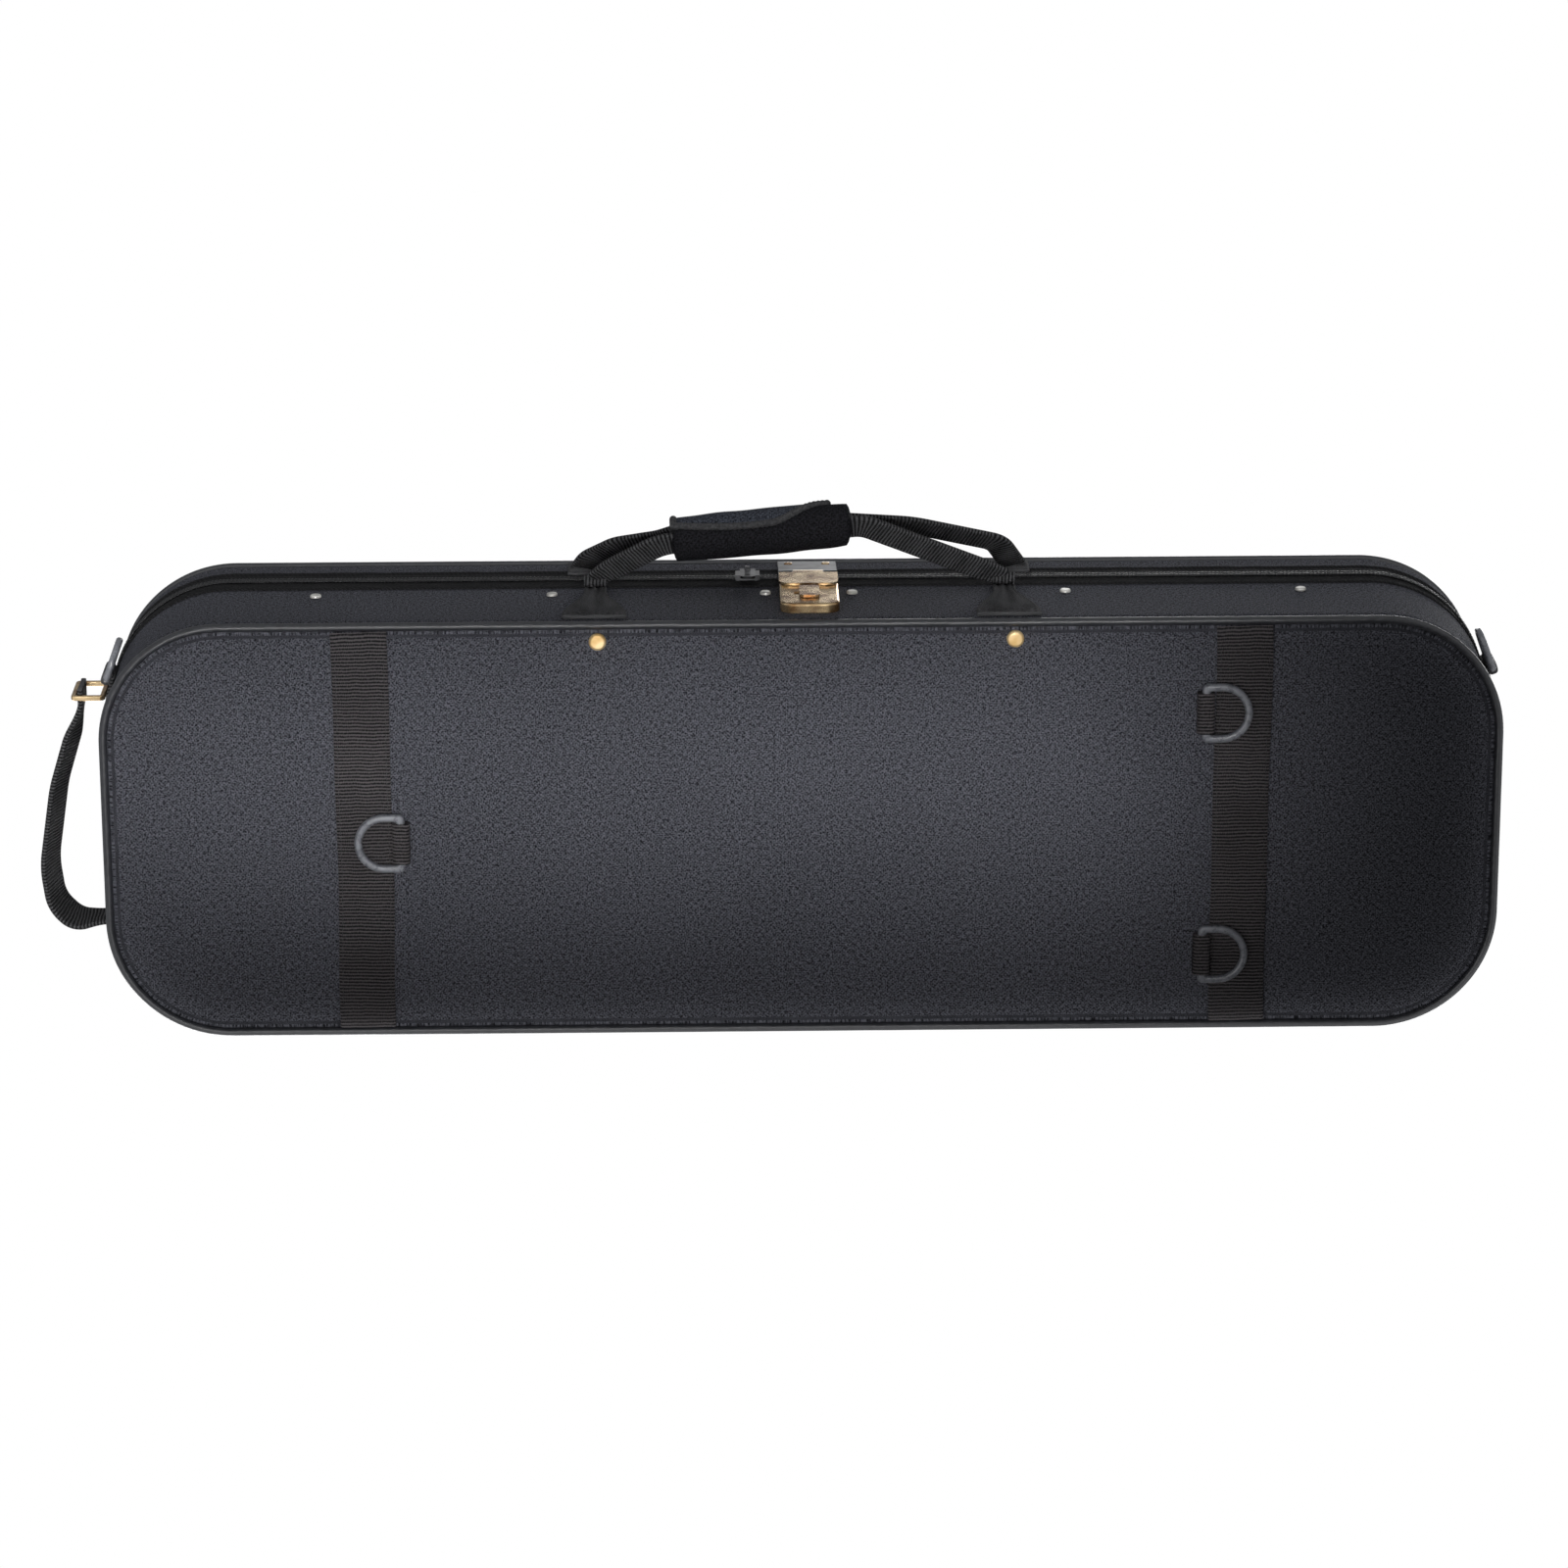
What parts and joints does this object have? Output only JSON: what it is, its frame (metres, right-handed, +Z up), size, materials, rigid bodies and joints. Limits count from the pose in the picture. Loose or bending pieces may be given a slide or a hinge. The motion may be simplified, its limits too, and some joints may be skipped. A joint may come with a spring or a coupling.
{
  "type": "oblong violin case",
  "caption": "Cloth-covered oblong hard case for a violin, with a hinged lid, zipper and centre latch, padded carrying handle, end handle and strap rings.",
  "frame": {"origin": "middle of the underside's face, with the case lying on it; the ring tabs reach 8 mm below", "axes": "+X toward the right end, -Y toward the handle and latch, +Y toward the spine, +Z up to the lid"},
  "size_m": [0.8437, 0.3098, 0.1448],
  "materials": {
    "cover_cloth": "woven nylon over foam",
    "piping_cord": "corded edge binding",
    "plywood": "bare plywood",
    "plush": "short pile plush",
    "rim_board": "smooth",
    "webbing": "ribbed nylon webbing",
    "wrap_cloth": "padded cloth",
    "ring_plastic": "glossy",
    "zip_tape": "woven tape",
    "zip_coil": "moulded teeth",
    "zip_metal": "nickel plated",
    "nickel": "nickel plated",
    "brass": "polished",
    "hinge_steel": "satin",
    "bow_wood": "dark stained"
  },
  "bodies": {
    "base": {"base_shell": "plywood", "base_cover": "cover_cloth", "base_piping": "piping_cord", "base_lining": "plush", "rim_lip": "rim_board", "instrument_cradle": "plush", "pocket_cushions": "plush", "neck_rest": "plush", "neck_strap": "plush", "accessory_rod": "hinge_steel", "base_zip_tape": "zip_tape", "base_zip_coil": "zip_coil", "webbing_bands": "webbing", "pack_ring_tabs": "webbing", "handle_domes": "brass", "wall_rivets": "nickel", "front_handle_tabs": "webbing", "end_strip_left": "webbing", "end_strip_right": "webbing", "end_loop": "nickel", "end_handle_strap": "webbing", "end_rivet": "brass", "hinge_leaf_base": "hinge_steel", "hinge_pin": "hinge_steel", "hinge_screws_base": "hinge_steel", "latch_back_plate": "nickel", "latch_case": "nickel"},
    "lid": {"lid_shell": "plywood", "lid_cover": "cover_cloth", "lid_piping": "piping_cord", "lid_lining": "plush", "bow_tip_sleeves": "plush", "bow_button_posts": "brass", "lid_zip_tape": "zip_tape", "lid_zip_coil": "zip_coil", "rear_handle_tabs": "webbing", "hinge_leaf_lid": "hinge_steel", "hinge_screws_lid": "hinge_steel", "latch_lid_plate": "nickel", "latch_pin": "nickel", "latch_rivets": "nickel"},
    "accessory_door": {"accessory_lid": "plush", "accessory_pull": "plush"},
    "front_handle": {"front_handle_strap": "webbing", "handle_wrap": "wrap_cloth"},
    "rear_handle": {"rear_handle_strap": "webbing"},
    "front_bow_button": {"bow_button_front": "bow_wood"},
    "rear_bow_button": {"bow_button_rear": "bow_wood"},
    "slider": {"zip_slider": "zip_metal"},
    "pull": {"zip_pull": "zip_metal"},
    "left_pack_ring": {"pack_ring_left": "ring_plastic"},
    "front_pack_ring": {"pack_ring_front": "ring_plastic"},
    "rear_pack_ring": {"pack_ring_rear": "ring_plastic"},
    "left_shoulder_ring": {"shoulder_ring_left": "ring_plastic"},
    "right_shoulder_ring": {"shoulder_ring_right": "ring_plastic"},
    "thumb": {"latch_thumb": "nickel"},
    "hasp": {"latch_hasp": "nickel"}
  },
  "joints": [
    {"name": "lid_hinge", "type": "hinge", "parent": "base", "child": "lid", "pos_m": [0, 0.126, 0.093], "axis": [-1, 0, 0], "range_deg": [0, 100]},
    {"name": "hasp_hinge", "type": "hinge", "parent": "lid", "child": "hasp", "pos_m": [0.005, -0.127, 0.084], "axis": [-1, 0, 0], "range_deg": [0, 55]},
    {"name": "thumb_slide", "type": "slide", "parent": "base", "child": "thumb", "axis": [-1, 0, 0], "range_m": [0, 0.006], "stiffness_N_per_m": 300},
    {"name": "zip_slide", "type": "slide", "parent": "base", "child": "slider", "axis": [-1, 0, 0], "range_m": [0, 0.27]},
    {"name": "pull_hinge", "type": "hinge", "parent": "slider", "child": "pull", "pos_m": [-0.03, -0.1286, 0.092], "axis": [-1, 0, 0], "range_deg": [0, 150]},
    {"name": "left_pack_ring_hinge", "type": "hinge", "parent": "base", "child": "left_pack_ring", "pos_m": [-0.22975, 0.0055, -0.0047], "axis": [0, -1, 0], "range_deg": [0, 150]},
    {"name": "front_pack_ring_hinge", "type": "hinge", "parent": "base", "child": "front_pack_ring", "pos_m": [0.22975, -0.0685, -0.0047], "axis": [0, 1, 0], "range_deg": [0, 150]},
    {"name": "rear_pack_ring_hinge", "type": "hinge", "parent": "base", "child": "rear_pack_ring", "pos_m": [0.22975, 0.0765, -0.0047], "axis": [0, 1, 0], "range_deg": [0, 150]},
    {"name": "left_shoulder_ring_hinge", "type": "hinge", "parent": "base", "child": "left_shoulder_ring", "pos_m": [-0.39996, -0.07846, 0.06], "axis": [0, 0, -1], "range_deg": [0, 120]},
    {"name": "right_shoulder_ring_hinge", "type": "hinge", "parent": "base", "child": "right_shoulder_ring", "pos_m": [0.39996, -0.07846, 0.06], "axis": [0, 0, 1], "range_deg": [0, 120]},
    {"name": "front_handle_fold", "type": "hinge", "parent": "base", "child": "front_handle", "pos_m": [0, -0.12935, 0.068], "axis": [1, 0, 0], "range_deg": [0, 32]},
    {"name": "rear_handle_fold", "type": "hinge", "parent": "lid", "child": "rear_handle", "pos_m": [0, -0.12735, 0.105], "axis": [-1, 0, 0], "range_deg": [0, 120]},
    {"name": "accessory_door_hinge", "type": "hinge", "parent": "base", "child": "accessory_door", "pos_m": [-0.128, -0.11025, 0.08805], "axis": [1, 0, 0], "range_deg": [0, 30]},
    {"name": "front_bow_button_turn", "type": "hinge", "parent": "lid", "child": "front_bow_button", "pos_m": [0.24, -0.048, 0.119], "axis": [0, 0, 1], "range_deg": [-90, 90]},
    {"name": "rear_bow_button_turn", "type": "hinge", "parent": "lid", "child": "rear_bow_button", "pos_m": [0.24, 0.048, 0.119], "axis": [0, 0, 1], "range_deg": [-90, 90]}
  ]
}
